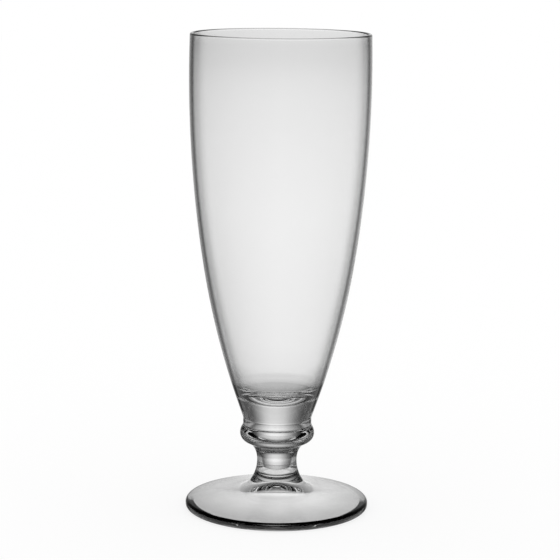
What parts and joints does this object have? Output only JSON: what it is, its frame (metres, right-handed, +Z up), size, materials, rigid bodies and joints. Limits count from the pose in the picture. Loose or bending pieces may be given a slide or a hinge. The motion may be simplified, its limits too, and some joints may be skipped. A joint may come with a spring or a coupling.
{
  "type": "footed pilsner glass",
  "caption": "Tall clear beer glass: a thin tapering bowl with a round bottom and a thick base, on a collar, a short waisted stem and a round foot with a hollow underside.",
  "frame": {"origin": "on the table surface, at the middle of the foot", "axes": "+Z up along the axis of the glass, from the foot to the lip; X and Y lie in the table and are alike, because the glass is round"},
  "size_m": [0.0734, 0.0734, 0.19],
  "materials": {
    "clear_glass": "polished"
  },
  "bodies": {
    "root": {"bowl": "clear_glass", "collar": "clear_glass", "stem": "clear_glass", "foot": "clear_glass"}
  },
  "joints": []
}
